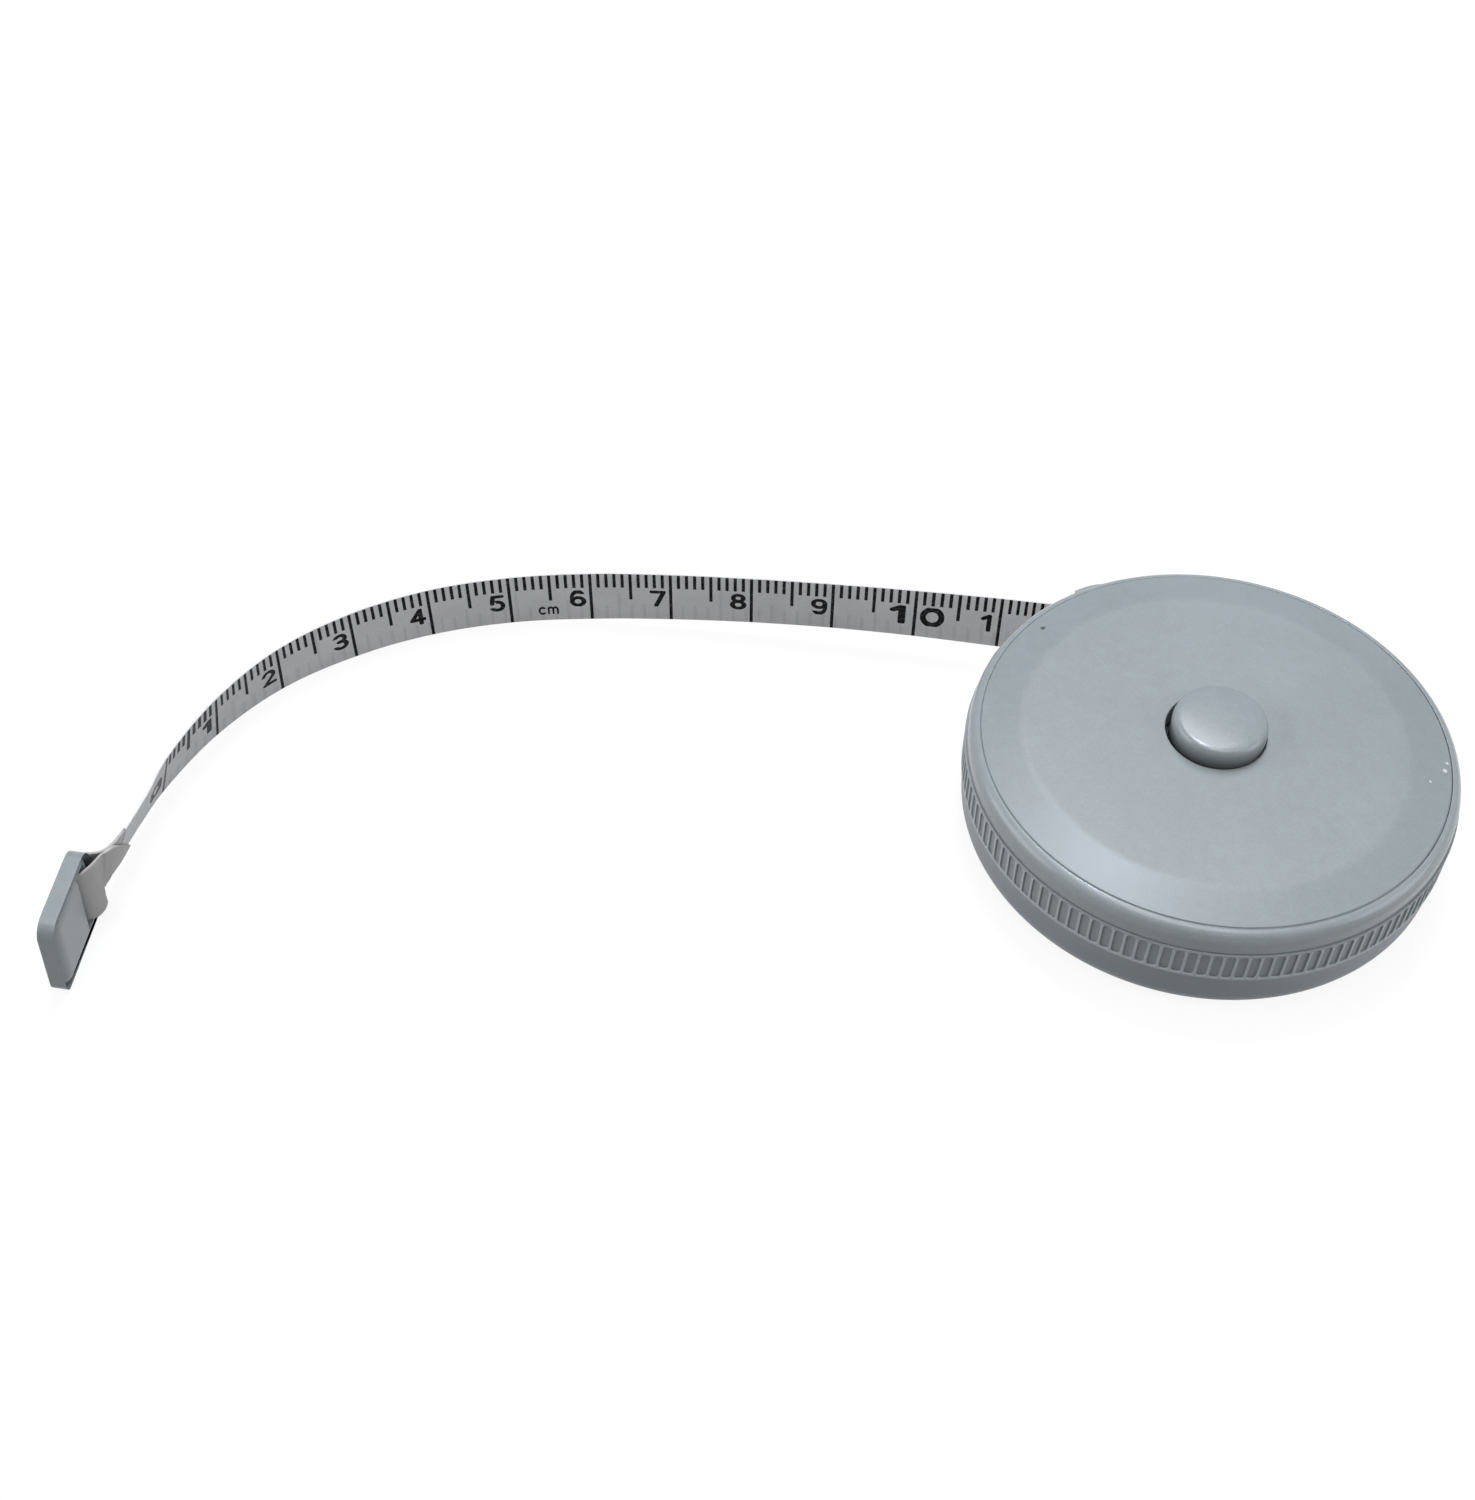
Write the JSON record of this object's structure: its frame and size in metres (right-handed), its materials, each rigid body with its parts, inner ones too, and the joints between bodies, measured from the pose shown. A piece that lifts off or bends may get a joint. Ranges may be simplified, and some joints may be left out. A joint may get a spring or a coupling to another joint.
{
  "type": "retractable tape measure",
  "caption": "Round pocket tape measure with a knurled case, a centre release button, a sprung reel and a flat printed sewing tape ending in a pull tab.",
  "frame": {"origin": "centre of the case's flat base", "axes": "+Z along the case's axis towards the button; the tape leaves the case along -X"},
  "size_m": [0.1477, 0.0721, 0.016],
  "materials": {
    "case_plastic": "satin moulded ABS, light blue grey",
    "face_plastic": "satin moulded ABS, light blue grey",
    "button_plastic": "smooth moulded ABS, light blue grey",
    "tab_plastic": "smooth moulded ABS, light blue grey",
    "inner_plastic": "natural white moulded plastic",
    "spring_steel": "tempered spring steel",
    "washer_steel": "plain zinc-coloured steel",
    "pad_rubber": "black rubber",
    "tape_vinyl": "vinyl-coated fibreglass cloth, pale grey with a black printed scale"
  },
  "bodies": {
    "case": {"back_shell": "case_plastic", "front_shell": "case_plastic", "face_plate": "face_plastic", "arbor": "inner_plastic", "reel_washer": "washer_steel", "button_spring": "spring_steel"},
    "reel": {"reel": "inner_plastic", "reel_flange": "inner_plastic", "tape_anchor_pin": "washer_steel", "mainspring": "spring_steel", "spring_cover": "inner_plastic", "tape_wound": "tape_vinyl"},
    "button": {"button": "button_plastic", "brake_disc": "inner_plastic", "brake_pad": "pad_rubber"},
    "tape": {"tape_run": "tape_vinyl", "tape_tail": "tape_vinyl", "tape_loop": "tape_vinyl"},
    "tab": {"end_tab": "tab_plastic"}
  },
  "joints": [
    {"name": "reel_spin", "type": "hinge", "parent": "case", "child": "reel", "pos_m": [0, 0, 0.006], "axis": [0, 0, 1], "range_deg": [-124, 3800], "deforming": ["mainspring"]},
    {"name": "tape_pull", "type": "slide", "parent": "case", "child": "tape", "axis": [-1, 0, 0], "range_m": [-0.045, 1.37], "deforming": ["tape_run"]},
    {"name": "button_press", "type": "slide", "parent": "case", "child": "button", "axis": [0, 0, -1], "range_m": [0, 0.0014], "stiffness_N_per_m": 700, "springref_m": -0.002, "deforming": ["button_spring"]},
    {"name": "tab_swing", "type": "hinge", "parent": "tape", "child": "tab", "pos_m": [-0.11836, -0.03443, 0.00572], "axis": [0.1077, 0.0075, 0.9942], "range_deg": [-65, 15]}
  ],
  "couplings": [
    {"joint": "tape_pull", "follows": "reel_spin", "m_per_rad": 0.02064}
  ]
}
